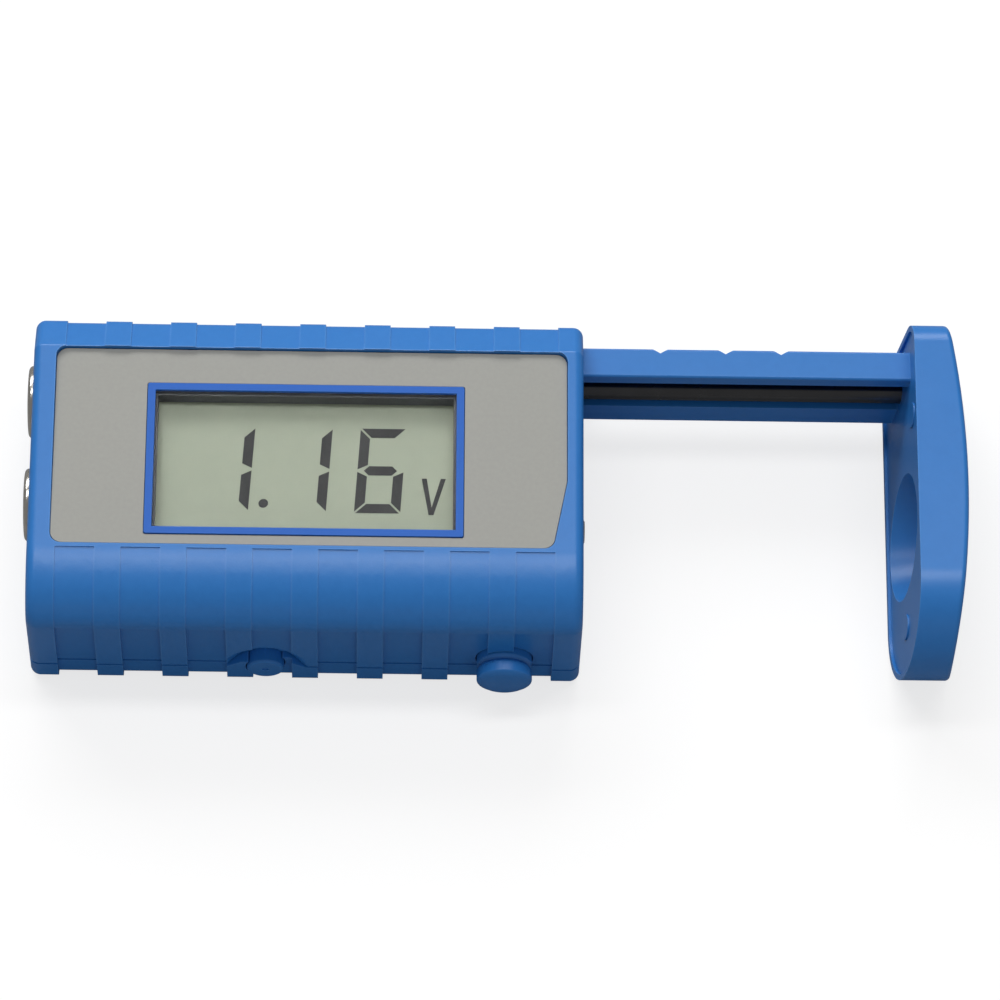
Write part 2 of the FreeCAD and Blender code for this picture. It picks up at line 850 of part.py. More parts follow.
def cell_negative_contact():
    plate = prism_x(cell_contact_rect(0.0), half_length - sheet, half_length)
    bump = Part.makeCone(cell_contact_bump_radius, cell_contact_bump_radius * cell_contact_bump_share,
                         cell_contact_bump, Vector(half_length, cell_y, cell_z), Vector(1, 0, 0))
    return fuse(plate, bump, contact_tab(board_right - tab_overlap, half_length, cell_y))


def plate_outline(inset):
    """The end plate seen along the case: a round front end and a squarer back end."""
    front_radius = (plate_height / 2 - inset) * 0.998
    back_radius = plate_back_corner - inset
    z0 = plate_bottom + inset
    z1 = plate_bottom + plate_height - inset
    return [(-plate_front + inset, z0, front_radius), (plate_back - inset, z0, back_radius),
            (plate_back - inset, z1, back_radius), (-plate_front + inset, z1, front_radius)]


def ahead_of_lean(x):
    """The space on the cell's side of a face that leans towards the case at its foot."""
    top = plate_bottom + plate_height
    slope = plate_lean / plate_height
    corners = [(x - far, -far), (x + slope * (-far - top), -far), (x + slope * (far - top), far),
               (x - far, far)]
    points = [Vector(across, -far, up) for across, up in corners]
    return Part.Face(Part.makePolygon(points + points[:1])).extrude(Vector(0, 2 * far, 0))


def stake_places():
    return [(stake_front_y, cell_z), (stake_back_y, stake_back_z)]


def slide_rail():
    rail = prism_x(rect(rail_front_y, rail_back_y, rail_bottom, rail_top, rail_corner),
                   rail_end_x, inner_plate_x + inner_plate_thickness / 2)
    channel = block(rail_end_x + channel_end, inner_plate_x, rail_front_y - overshoot,
                    rail_front_y + channel_depth, channel_bottom, channel_top)
    cuts = [channel]
    for place in notch_places:
        x = rim_x - place
        points = [Vector(x - notch_width / 2, rail_back_y, 0.0), Vector(x, rail_back_y - notch_depth, 0.0),
                  Vector(x + notch_width / 2, rail_back_y, 0.0), Vector(x, rail_back_y + notch_depth, 0.0)]
        cuts.append(Part.Face(Part.makePolygon(points + points[:1])).extrude(Vector(0, 0, far)))
    stop_x = inner_right - stop_clearance - (cell_gap_most - cell_gap)
    stop = block(stop_x - stop_length, stop_x, rail_front_y + rail_corner,
                 rail_back_y - stop_back_margin,
                 rail_top - rail_corner, rail_top + stop_height)
    return fuse(cut(rail, *cuts), stop)


def slide_arm():
    """The rail and the inner plate of the arm, in one piece."""
    plate = prism_x(plate_outline(plate_rim + plate_fit), inner_plate_x - plate_lean, cap_floor_x)
    plate = plate.cut(ahead_of_lean(inner_plate_x))
    mouth_x = inner_plate_x - plate_lean
    dish = Part.makeCone(dish_mouth_radius, dish_floor_radius, cap_floor_x - mouth_x,
                         Vector(mouth_x, cell_y, cell_z), Vector(1, 0, 0))
    through = cap_floor_x + overshoot
    holes = [along_x(stake_radius + stake_clearance, mouth_x - overshoot, through, y, z)
             for y, z in stake_places()]
    rod_bore = along_x(rod_radius + rod_clearance, rail_end_x - overshoot, through, rod_y, rod_z)
    return cut(fuse(plate, slide_rail()), dish, rod_bore, *holes)


def strip_span():
    return (cell_y - dish_floor_radius - strip_margin, rod_y + rod_radius + strip_margin)


def arm_end_cap():
    """The crowned outer shell of the end plate, with two staking posts for the inner plate."""
    place = at_z(0.0)
    outer_x = rim_x + plate_thickness
    foot_x = rim_x - plate_lean
    arc = Part.Arc(place(outer_x, plate_back), place(outer_x + plate_crown, (plate_back - plate_front) / 2),
                   place(outer_x, -plate_front))
    sides = Part.makePolygon([place(outer_x, -plate_front), place(foot_x, -plate_front),
                              place(foot_x, plate_back), place(outer_x, plate_back)])
    crowned = Part.Face(Part.Wire([arc.toShape()] + sides.Edges)).extrude(Vector(0, 0, far))
    cap = prism_x(plate_outline(0.0), foot_x, outer_x + 2 * plate_crown).common(crowned)
    cap = fillet_where(cap, plate_edge, lambda edge: edge.BoundBox.XMin > outer_x - near)
    hollow = prism_x(plate_outline(plate_rim), foot_x - overshoot, cap_floor_x)
    y0, y1 = strip_span()
    half = strip_width / 2 + strip_clearance
    groove = block(cap_floor_x - overshoot, cap_floor_x + strip_thickness,
                   y0 - strip_clearance, y1 + strip_clearance, cell_z - half, cell_z + half)
    heads = ahead_of_lean(inner_plate_x - stake_head)
    posts = [along_x(stake_radius, foot_x - overshoot, cap_floor_x + stake_root, y, z).cut(heads)
             for y, z in stake_places()]
    return fuse(cut(cap, hollow, groove, ahead_of_lean(rim_x)), *posts)


def cell_positive_contact():
    """The spring strip behind the dish, which joins the cell's pip to the rod."""
    y0, y1 = strip_span()
    half = strip_width / 2
    strip = prism_x(rect(y0, y1, cell_z - half, cell_z + half, strip_corner),
                    cap_floor_x, cap_floor_x + strip_thickness)
    bump = Part.makeCone(strip_bump_radius, strip_bump_top_radius, strip_bump_height,
                         Vector(cap_floor_x, cell_y, cell_z), Vector(-1, 0, 0))
    return fuse(strip, bump)


def contact_rod():
    return along_x(rod_radius, rail_end_x, cap_floor_x, rod_y, rod_z)


def rod_brush():
    """A bent strip under the board whose tip rides on the rod."""
    t = brush_thickness
    top = board_bottom
    heel = rail_front_y - rail_clearance - 2 * t
    tip_y = rod_y - rod_radius - brush_gap
    knee = top - brush_drop
    points = [(heel - brush_foot, top), (heel, top), (heel, knee), (tip_y, rod_z + t / 2),
              (tip_y, rod_z - t / 2), (heel - t, knee - t), (heel - t, top - t),
              (heel - brush_foot, top - t)]
    return prism_x([(y, z, 0.0) for y, z in points], brush_x, brush_x + brush_width)


def detent_leaf():
    """A bowed leaf on the back wall that drops into the rail's notches."""
    place = at_z(leaf_height - leaf_width / 2)
    middle_x = leaf_x + leaf_length / 2
    end_x = leaf_x + leaf_length
    nose_y = rail_back_y + leaf_gap
    outer = Part.Arc(place(leaf_x, inner_back_y), place(middle_x, nose_y + leaf_thickness),
                     place(end_x, inner_back_y))
    inner = Part.Arc(place(leaf_x, inner_back_y - leaf_thickness), place(middle_x, nose_y),
                     place(end_x, inner_back_y - leaf_thickness))
    ends = [Part.makeLine(place(x, inner_back_y - leaf_thickness), place(x, inner_back_y))
            for x in (leaf_x, end_x)]
    edges = Part.__sortEdges__([outer.toShape(), inner.toShape()] + ends)
    return Part.Face(Part.Wire(edges)).extrude(Vector(0, 0, leaf_width))


def build():
    body = case_body()
    pieces = {
        "top_shell": top_shell(body),
        "bottom_shell": bottom_shell(body),
        "faceplate": faceplate(),
        "display_bezel": display_bezel(),
        "display_lens": display_lens(),
        "lcd_carrier": lcd_carrier(),
        "lcd_panel": lcd_panel(),
        "zebra_strips": zebra_strips(),
        "circuit_board": circuit_board(),
        "board_screws": board_screws(),
        "chip_blob": chip_blob(),
        "load_resistor": load_resistor(),
        "filter_capacitor": filter_capacitor(),
        "calibration_trimmer": calibration_trimmer(),
        "case_screws": case_screws(),
        "switch_board": switch_board(),
        "test_switch": push_switch(test_x, test_z),
        "hold_switch": push_switch(hold_x, hold_z),
        "test_button": test_button(),
        "hold_button": hold_button(),
        "nine_volt_contact_front": nine_volt_contact(pad_front_y),
        "nine_volt_contact_back": nine_volt_contact(pad_back_y),
        "cell_negative_contact": cell_negative_contact(),
        "slide_arm": slide_arm(),
        "arm_end_cap": arm_end_cap(),
        "cell_positive_contact": cell_positive_contact(),
        "contact_rod": contact_rod(),
        "rod_brush": rod_brush(),
        "detent_leaf": detent_leaf(),
    }
    return pieces


def main():
    os.makedirs("parts", exist_ok=True)
    for name, shape in build().items():
        shape.exportStep("parts/" + name + ".step")
        print(name, "solids", len(shape.Solids), "valid", shape.isValid(), "volume", round(shape.Volume, 2))


main()
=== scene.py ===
# %% [markdown]
# # A battery tester, dressed for its portrait
# The frame holds every rigid piece of the tester at its real size. This lesson gives those pieces their
# finishes, softens the moulded edges, and adds what is too fine for the frame: the figures of the display
# and the cross slots of the screws. X runs along the case, Y to the back and Z up. Blender counts in metres
# here, so a small length is written in millimetres and multiplied by MM.

# %% Load the frame
import bpy
import bmesh
import json
import math
from mathutils import Color, Matrix, Vector

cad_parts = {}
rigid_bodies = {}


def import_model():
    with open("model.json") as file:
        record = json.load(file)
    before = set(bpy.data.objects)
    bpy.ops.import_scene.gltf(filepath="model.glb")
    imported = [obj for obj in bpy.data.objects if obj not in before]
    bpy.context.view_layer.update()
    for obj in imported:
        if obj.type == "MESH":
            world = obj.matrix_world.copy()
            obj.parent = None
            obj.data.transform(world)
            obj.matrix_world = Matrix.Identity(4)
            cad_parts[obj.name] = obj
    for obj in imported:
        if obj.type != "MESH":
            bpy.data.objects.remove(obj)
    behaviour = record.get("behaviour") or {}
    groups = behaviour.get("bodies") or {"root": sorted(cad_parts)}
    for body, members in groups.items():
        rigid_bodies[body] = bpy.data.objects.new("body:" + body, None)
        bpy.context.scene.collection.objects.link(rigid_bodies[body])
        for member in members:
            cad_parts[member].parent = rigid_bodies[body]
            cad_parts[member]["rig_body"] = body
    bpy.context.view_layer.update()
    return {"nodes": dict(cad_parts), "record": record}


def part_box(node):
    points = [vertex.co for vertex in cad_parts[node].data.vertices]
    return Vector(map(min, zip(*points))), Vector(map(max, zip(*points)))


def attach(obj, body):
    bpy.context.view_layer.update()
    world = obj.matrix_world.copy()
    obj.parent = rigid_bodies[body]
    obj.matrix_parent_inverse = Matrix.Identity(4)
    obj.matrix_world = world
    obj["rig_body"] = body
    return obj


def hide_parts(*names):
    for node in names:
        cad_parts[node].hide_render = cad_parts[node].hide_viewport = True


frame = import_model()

nodes = frame["nodes"]
MM = 0.001

# %% [markdown]
# ## Camera
# The tester was photographed from high in front, with a long lens, so that its far edges hardly shrink.
# The camera is placed by its own position, and aimed by height, bearing and roll. A lens of 216 mm from
# about 90 cm gives that mild perspective, and the roll follows the way the case lies in the frame.

# %% Set the camera
CAMERA_PLACE = Vector((13.0, -391.6, 829.0)) * MM
CAMERA_ELEVATION = math.radians(64.361)
CAMERA_BEARING = math.radians(2.346)
CAMERA_ROLL = math.radians(2.886)
CAMERA_LENS = 216.1
CAMERA_SENSOR = 36.0
CAMERA_NEAREST = 0.01


def add_object(name, data):
    """A new object in the scene, which shows a mesh, a lamp or a camera."""
    made = bpy.data.objects.new(name, data)
    bpy.context.scene.collection.objects.link(made)
    return made


camera_data = bpy.data.cameras.new("portrait_camera")
camera_data.lens = CAMERA_LENS
camera_data.sensor_width = CAMERA_SENSOR
camera_data.clip_start = CAMERA_NEAREST
camera = add_object("portrait_camera", camera_data)
aim = Vector((math.sin(CAMERA_BEARING) * math.cos(CAMERA_ELEVATION),
              math.cos(CAMERA_BEARING) * math.cos(CAMERA_ELEVATION), -math.sin(CAMERA_ELEVATION)))
turn = aim.to_track_quat("-Z", "Y").to_matrix().to_4x4() @ Matrix.Rotation(CAMERA_ROLL, 4, "Z")
camera.matrix_world = Matrix.Translation(CAMERA_PLACE) @ turn
bpy.context.scene.camera = camera
print("camera", [round(v, 4) for v in CAMERA_PLACE])

# %% [markdown]
# ## Helpers for node trees
# A material in Blender is a tree of nodes, and the same few kinds return in every tree: a sum, a mix of two
# colours, a noise. Each gets a helper that takes plain values or the sockets of other nodes, so that a tree
# reads like a formula. The Mix node has one set of sockets for each kind of value, and those for colours
# are only told apart by their place. Colours are picked on a screen, so one helper turns the screen's values
# into the linear ones that shaders use.

# %% Node helpers
MIX_SHARE = 0
MIX_FIRST = 6
MIX_SECOND = 7
MIX_RESULT = 2
SCREEN_WHITE = 255


def colour(red, green, blue):
    """A colour picked as 0 to 255 on screen, as the linear values that shaders use."""
    picked = Color((red / SCREEN_WHITE, green / SCREEN_WHITE, blue / SCREEN_WHITE))
    return (*picked.from_srgb_to_scene_linear(), 1.0)


def feed(tree, socket, value):
    """Give a socket a plain value, or a link from another socket."""
    if isinstance(value, bpy.types.NodeSocket):
        tree.links.new(value, socket)
    else:
        socket.default_value = value


def math_node(tree, operation, first, second, clamp=False):
    """The result of a Math node on two values, held between 0 and 1 if it is clamped."""
    node = tree.nodes.new("ShaderNodeMath")
    node.operation = operation
    node.use_clamp = clamp
    feed(tree, node.inputs[0], first)
    feed(tree, node.inputs[1], second)
    return node.outputs[0]


def mix_colour(tree, share, first, second):
    """The first colour where the share is 0, the second where it is 1."""
    node = tree.nodes.new("ShaderNodeMix")
    node.data_type = "RGBA"
    feed(tree, node.inputs[MIX_SHARE], share)
    feed(tree, node.inputs[MIX_FIRST], first)
    feed(tree, node.inputs[MIX_SECOND], second)
    return node.outputs[MIX_RESULT]


def noise_node(tree, place, scale, detail, roughness=0.55):
    """A noise that changes from place to place."""
    node = tree.nodes.new("ShaderNodeTexNoise")
    feed(tree, node.inputs["Vector"], place)
    feed(tree, node.inputs["Scale"], scale)
    feed(tree, node.inputs["Detail"], detail)
    feed(tree, node.inputs["Roughness"], roughness)
    return node.outputs["Fac"]


WHITE = colour(SCREEN_WHITE, SCREEN_WHITE, SCREEN_WHITE)
print("white", [round(v, 3) for v in WHITE])

# %% [markdown]
# ## Floor
# A product portrait wants a white sweep that still takes the tester's shadow. A plain white plane would
# throw too much light up at the case. So this floor glows for the camera, and through the window, but is
# grey to reflections and to the light that bounces off it, and the low front of the case stays darker than
# its top. The Light Path node tells these rays apart.

# %% Lay the floor
FLOOR_SIZE = 3.0
FLOOR_SEEN = (0.34, 0.34, 0.34, 1.0)
FLOOR_BOUNCE = (0.30, 0.30, 0.30, 1.0)
FLOOR_GLOW = 0.72
FLOOR_ROUGHNESS = 0.9
FLOOR_SPECULAR = 0.0

half_floor = FLOOR_SIZE / 2
floor_mesh = bpy.data.meshes.new("floor")
floor_mesh.from_pydata([(-half_floor, -half_floor, 0), (half_floor, -half_floor, 0),
                        (half_floor, half_floor, 0), (-half_floor, half_floor, 0)], [], [(0, 1, 2, 3)])
floor = add_object("floor", floor_mesh)
floor_finish = bpy.data.materials.new("floor_white")
floor_finish.use_nodes = True
tree = floor_finish.node_tree
shader = tree.nodes["Principled BSDF"]
rays = tree.nodes.new("ShaderNodeLightPath")
seen = math_node(tree, "MAXIMUM", rays.outputs["Is Camera Ray"], rays.outputs["Is Transmission Ray"])
feed(tree, shader.inputs["Base Color"], mix_colour(tree, seen, FLOOR_BOUNCE, FLOOR_SEEN))
feed(tree, shader.inputs["Roughness"], FLOOR_ROUGHNESS)
feed(tree, shader.inputs["Specular IOR Level"], FLOOR_SPECULAR)
feed(tree, shader.inputs["Emission Color"], WHITE)
feed(tree, shader.inputs["Emission Strength"], math_node(tree, "MULTIPLY", seen, FLOOR_GLOW))
floor_mesh.materials.append(floor_finish)
print("floor", FLOOR_SIZE, "m wide")

# %% [markdown]
# ## Light
# The light is soft, as in a photo tent. One wide lamp behind lights the top faces and shades the sunk
# display, and a long strip above draws a sheen along the front shoulder. A weak lamp in front, which gloss
# doesn't show, and a pale world fill the shadows. The camera sees that world as pure white.

# %% World and lamps
WORLD_STRENGTH = 0.24
LAMP_TARGET = Vector((0.03, 0.0, 0.01))

world = bpy.data.worlds.new("pale_studio")
world.use_nodes = True
bpy.context.scene.world = world
tree = world.node_tree
background = tree.nodes["Background"]
rays = tree.nodes.new("ShaderNodeLightPath")
feed(tree, background.inputs["Color"], WHITE)
feed(tree, background.inputs["Strength"],
     math_node(tree, "MAXIMUM", rays.outputs["Is Camera Ray"], WORLD_STRENGTH))


def add_lamp(name, place, size, power):
    """A soft rectangular lamp that points at the tester."""
    data = bpy.data.lights.new(name, "AREA")
    data.shape = "RECTANGLE"
    data.size, data.size_y = size
    data.energy = power
    lamp = add_object(name, data)
    way = LAMP_TARGET - Vector(place)
    lamp.matrix_world = Matrix.Translation(place) @ way.to_track_quat("-Z", "Y").to_matrix().to_4x4()
    return lamp


add_lamp("back_key", place=(-0.15, 0.75, 0.62), size=(1.0, 0.4), power=6.4)
add_lamp("top_strip", place=(0.02, 0.17, 0.85), size=(0.9, 0.12), power=2.7)
front_fill = add_lamp("front_fill", place=(0.1, -0.9, 0.5), size=(0.9, 0.4), power=1.1)
front_fill.visible_glossy = False
bpy.context.scene.view_settings.view_transform = "Standard"

# %% [markdown]
# ## Moulded grain
# Three effects return in almost every finish, so each is a node group, built once and placed in each
# material with its own values. The first is the fine texture that a mould leaves on plastic. Two sizes of
# noise make it: both together are a height for bump, and the broad one alone shifts the colour a little.

# %% Moulded grain group
GRAIN_SCALE = 5000.0
GRAIN_BROAD = 0.18
GRAIN_FINE_SHARE = 0.75


def new_group(name, inputs, outputs):
    """A shader node group with number sockets, and its two end nodes."""
    tree = bpy.data.node_groups.new(name, "ShaderNodeTree")
    for label, value in inputs.items():
        socket = tree.interface.new_socket(name=label, in_out="INPUT", socket_type="NodeSocketFloat")
        socket.default_value = value
    for label in outputs:
        tree.interface.new_socket(name=label, in_out="OUTPUT", socket_type="NodeSocketFloat")
    start = tree.nodes.new("NodeGroupInput")
    end = tree.nodes.new("NodeGroupOutput")
    return tree, start, end


grain, start, end = new_group("moulded_grain", {"Scale": GRAIN_SCALE}, ["Height", "Shade"])
where = grain.nodes.new("ShaderNodeTexCoord").outputs["Object"]
fine = noise_node(grain, where, start.outputs["Scale"], detail=2.0)
broad_scale = math_node(grain, "MULTIPLY", start.outputs["Scale"], GRAIN_BROAD)
broad = noise_node(grain, where, broad_scale, detail=3.0)
fine_part = math_node(grain, "MULTIPLY", fine, GRAIN_FINE_SHARE)
broad_part = math_node(grain, "MULTIPLY", broad, 1 - GRAIN_FINE_SHARE)
feed(grain, end.inputs["Height"], math_node(grain, "ADD", fine_part, broad_part))
feed(grain, end.inputs["Shade"], broad)
print("group", grain.name)

# %% [markdown]
# ## Edge wear
# The corners of a tool get rubbed in use. A painted map would have to be redone after each change of shape,
# so this group finds corners by itself: it compares the true normal with one that is rounded over a small
# radius, and the two differ only near a corner. A noise makes the wear patchy. Most finishes turn paler
# there, as where they are worn, but the display's glass turns darker along its edges.

# %% Edge wear group
WEAR_RADIUS = 0.4
WEAR_PATCHINESS = 0.6
WEAR_SAMPLES = 6
WEAR_GAIN = 5.0
WEAR_PATCH_SCALE = 260.0

wear_values = {"Radius": WEAR_RADIUS * MM, "Patchiness": WEAR_PATCHINESS}
wear, start, end = new_group("edge_wear", wear_values, ["Mask"])
rounded = wear.nodes.new("ShaderNodeBevel")
rounded.samples = WEAR_SAMPLES
feed(wear, rounded.inputs["Radius"], start.outputs["Radius"])
surface = wear.nodes.new("ShaderNodeNewGeometry")
likeness = wear.nodes.new("ShaderNodeVectorMath")
likeness.operation = "DOT_PRODUCT"
feed(wear, likeness.inputs[0], rounded.outputs["Normal"])
feed(wear, likeness.inputs[1], surface.outputs["Normal"])
difference = math_node(wear, "SUBTRACT", 1.0, likeness.outputs["Value"])
corner = math_node(wear, "MULTIPLY", difference, WEAR_GAIN, clamp=True)
where = wear.nodes.new("ShaderNodeTexCoord").outputs["Object"]
patches = noise_node(wear, where, WEAR_PATCH_SCALE, detail=4.0, roughness=0.65)
spared = math_node(wear, "MULTIPLY", patches, start.outputs["Patchiness"])
uneven = math_node(wear, "SUBTRACT", 1.0, spared, clamp=True)
feed(wear, end.inputs["Mask"], math_node(wear, "MULTIPLY", corner, uneven, clamp=True))
print("group", wear.name)

# %% [markdown]
# ## Handling marks
# Fingers polish a surface in some places and dull it in others. The third group is a roughness that wanders
# between a least and a most value in broad soft patches, which breaks up reflections without any dirt.

# %% Handling marks group
MARKS_SCALE = 60.0
MARKS_LEAST = 0.3
MARKS_MOST = 0.5

marks_values = {"Scale": MARKS_SCALE, "Least": MARKS_LEAST, "Most": MARKS_MOST}
marks, start, end = new_group("handling_marks", marks_values, ["Roughness"])
where = marks.nodes.new("ShaderNodeTexCoord").outputs["Object"]
patch = noise_node(marks, where, start.outputs["Scale"], detail=5.0, roughness=0.6)
spread = math_node(marks, "SUBTRACT", start.outputs["Most"], start.outputs["Least"])
rise = math_node(marks, "MULTIPLY", patch, spread)
feed(marks, end.inputs["Roughness"], math_node(marks, "ADD", start.outputs["Least"], rise))
print("group", marks.name)

# %% [markdown]
# ## One recipe for the finishes
# Nearly every finish below follows one recipe: a Principled shader whose base colour is shifted a little by
# the grain and turned towards an edge colour on its corners, whose roughness carries handling marks, and
# whose normal gets the grain as bump. The edge colour is paler for most finishes, as on worn edges, and
# darker on the display's glass. Each finish then sets its own numbers. The depth of the grain is in
# millimetres.

# %% Finish helper
FINISHES = {}


def use_group(tree, group, **values):
    """A node group's place in a tree, with values of its own."""
    node = tree.nodes.new("ShaderNodeGroup")
    node.node_tree = group
    for label, value in values.items():
        node.inputs[label].default_value = value
    return node


def moulded(name, base, shade, edge_colour, gloss, grain_scale, grain_depth, metal=0.0, specular=0.5,
            wear_share=0.5):
    """A finish with grain, edge wear and handling marks, which is kept under its name."""
    finish = bpy.data.materials.new(name)
    finish.use_nodes = True
    FINISHES[name] = finish
    tree = finish.node_tree
    shader = tree.nodes["Principled BSDF"]
    shader.inputs["Metallic"].default_value = metal
    shader.inputs["Specular IOR Level"].default_value = specular
    texture = use_group(tree, grain, Scale=grain_scale)
    tinted = mix_colour(tree, texture.outputs["Shade"], colour(*base), colour(*shade))
    edges = use_group(tree, wear)
    share = math_node(tree, "MULTIPLY", edges.outputs["Mask"], wear_share)
    feed(tree, shader.inputs["Base Color"], mix_colour(tree, share, tinted, colour(*edge_colour)))
    least, most = gloss
    touched = use_group(tree, marks, Least=least, Most=most)
    feed(tree, shader.inputs["Roughness"], touched.outputs["Roughness"])
    bump = tree.nodes.new("ShaderNodeBump")
    bump.name = "grain_bump"
    feed(tree, bump.inputs["Strength"], 1.0)
    feed(tree, bump.inputs["Distance"], grain_depth * MM)
    feed(tree, bump.inputs["Height"], texture.outputs["Height"])
    feed(tree, shader.inputs["Normal"], bump.outputs["Normal"])
    return finish


print("recipe of", grain.name, wear.name, marks.name)

# %% [markdown]
# ## Blue moulded plastic
# The case, the arm and the buttons are one blue thermoplastic. It is satin, not shiny, with a faint
# spark-eroded grain, and rubbed corners look paler because the surface there is polished. The bezel is a
# deeper blue, and duller, so it reflects less of the lamps.

# %% Blue plastic
moulded("case_blue", base=(46, 124, 202), shade=(41, 117, 194), edge_colour=(104, 164, 226),
        gloss=(0.28, 0.38), grain_scale=4200.0, grain_depth=0.01)
moulded("bezel_blue", base=(40, 102, 196), shade=(36, 97, 189), edge_colour=(78, 132, 210),
        gloss=(0.34, 0.46), grain_scale=6000.0, grain_depth=0.003, specular=0.25)
print("finishes", list(FINISHES))

# %% [markdown]
# ## Grey face film
# The panel around the display is a printed film with a satin, finely grained face. A very fine noise
# gives it the sparkle of the coating, and the edge of the film is a little paler where it was cut.

# %% Face film
moulded("faceplate_grey", base=(160, 160, 154), shade=(152, 152, 147), edge_colour=(186, 186, 180),
        gloss=(0.42, 0.56), grain_scale=9000.0, grain_depth=0.004, wear_share=0.35)
print("finishes", len(FINISHES))

# %% [markdown]
# ## Display
# A reflective liquid crystal display is a grey-green sheet behind glass, with nearly black figures. Its
# frame is dark grey, and looks darker still because it lies in shade. The window is a clear plastic plate. A
# real index would bend the view of the display and darken it, so the plate hardly bends light, and a little
# roughness keeps it from vanishing.

# %% Display finishes
LENS_INDEX = 1.05

# The display's glass is given a darker colour along its edges.
moulded("lcd_glass", base=(172, 181, 159), shade=(166, 175, 154), edge_colour=(140, 147, 132),
        gloss=(0.35, 0.45), grain_scale=3000.0, grain_depth=0.001, wear_share=0.2)
moulded("segment_black", base=(32, 34, 36), shade=(28, 30, 32), edge_colour=(44, 46, 48),
        gloss=(0.4, 0.5), grain_scale=3000.0, grain_depth=0.001, wear_share=0.0)
moulded("carrier_dark", base=(96, 98, 102), shade=(88, 90, 94), edge_colour=(112, 114, 118),
        gloss=(0.45, 0.6), grain_scale=4000.0, grain_depth=0.006)
lens_clear = bpy.data.materials.new("lens_clear")
lens_clear.use_nodes = True
FINISHES["lens_clear"] = lens_clear
tree = lens_clear.node_tree
shader = tree.nodes["Principled BSDF"]
feed(tree, shader.inputs["Base Color"], WHITE)
feed(tree, shader.inputs["Transmission Weight"], 1.0)
feed(tree, shader.inputs["IOR"], LENS_INDEX)
touched = use_group(tree, marks, Scale=90.0, Least=0.02, Most=0.06)
feed(tree, shader.inputs["Roughness"], touched.outputs["Roughness"])
print("finishes", len(FINISHES))

# %% [markdown]
# ## Metals
# The contacts are nickel-plated sheet, bright and slightly uneven. The screws are zinc-plated steel, and
# the brush and the detent leaf are spring brass. The rod is drawn steel, so its fine scratches run along it:
# they are a noise that is stretched in X by squeezing that coordinate, and they take the grain's place. The
# rod's colour is a much darker grey than bare steel: a painted dark reflection of dim surroundings.

# %% Metal finishes
SCRATCH_SQUEEZE = (0.02, 1.0, 1.0)
SCRATCH_SCALE = 3000.0
SCRATCH_STRENGTH = 0.5
SCRATCH_DEPTH = 0.01

moulded("nickel", base=(214, 210, 203), shade=(198, 194, 187), edge_colour=(232, 230, 226),
        gloss=(0.14, 0.3), grain_scale=900.0, grain_depth=0.002, metal=1.0)
moulded("zinc_steel", base=(186, 188, 192), shade=(170, 172, 178), edge_colour=(216, 216, 216),
        gloss=(0.28, 0.45), grain_scale=1500.0, grain_depth=0.003, metal=1.0)
moulded("spring_brass", base=(206, 172, 98), shade=(190, 154, 84), edge_colour=(226, 200, 140),
        gloss=(0.25, 0.4), grain_scale=1500.0, grain_depth=0.002, metal=1.0)
# Painted dark reflection: the rod's grey is far darker than steel's own, standing in for the dim
# surroundings it mirrors.
rod_steel = moulded("rod_steel", base=(92, 92, 93), shade=(78, 78, 80), edge_colour=(132, 131, 130),
                    gloss=(0.2, 0.34), grain_scale=1200.0, grain_depth=SCRATCH_DEPTH, metal=1.0)
tree = rod_steel.node_tree
drawn = tree.nodes.new("ShaderNodeVectorMath")
drawn.operation = "MULTIPLY"
feed(tree, drawn.inputs[0], tree.nodes.new("ShaderNodeTexCoord").outputs["Object"])
feed(tree, drawn.inputs[1], SCRATCH_SQUEEZE)
scratches = noise_node(tree, drawn.outputs["Vector"], SCRATCH_SCALE, detail=3.0)
feed(tree, tree.nodes["grain_bump"].inputs["Height"], scratches)
feed(tree, tree.nodes["grain_bump"].inputs["Strength"], SCRATCH_STRENGTH)
print("finishes", len(FINISHES))

# %% [markdown]
# ## Inner pieces
# The board and its parts are closed in the case, but they still carry their own finishes, so that the
# tester can be taken apart.

# %% Inner finishes
moulded("board_green", base=(38, 104, 62), shade=(30, 92, 54), edge_colour=(88, 140, 98),
        gloss=(0.25, 0.35), grain_scale=2500.0, grain_depth=0.004)
moulded("resin_black", base=(34, 34, 36), shade=(28, 28, 30), edge_colour=(62, 62, 64),
        gloss=(0.4, 0.55), grain_scale=3000.0, grain_depth=0.005)
moulded("elastomer", base=(66, 64, 66), shade=(46, 45, 47), edge_colour=(84, 82, 84),
        gloss=(0.6, 0.75), grain_scale=2500.0, grain_depth=0.005)
moulded("resistor_ceramic", base=(202, 184, 146), shade=(190, 170, 132), edge_colour=(222, 208, 178),
        gloss=(0.4, 0.5), grain_scale=2500.0, grain_depth=0.004)
moulded("trimmer_blue", base=(40, 78, 158), shade=(34, 70, 146), edge_colour=(90, 124, 190),
        gloss=(0.35, 0.45), grain_scale=3500.0, grain_depth=0.004)
print("finishes", len(FINISHES))

# %% [markdown]
# ## Finishes on the pieces
# The record names a slot for each node, and the finishes are kept under the same names. So one loop dresses
# the whole frame, and a finish can be changed in one place.

# %% Dress the nodes
slot_of = {part["node"]: part["material_slot"] for part in frame["record"]["subparts"]}
for name, piece in nodes.items():
    piece.data.materials.clear()
    piece.data.materials.append(FINISHES[slot_of[name]])
print("finished nodes", len(nodes))

# %% [markdown]
# ## Clean copies
# The frame's meshes come as separate patches of triangles, which carry normals of their own. A bevel needs
# faces that are joined. So an outer piece gets a copy: those normals are taken off, the patches are welded,
# and flat areas are cleared of needless edges. The copy stands for the node, in the same place.

# %% Copy helper
WELD_DISTANCE = 0.002
FLAT_ANGLE = 0.05


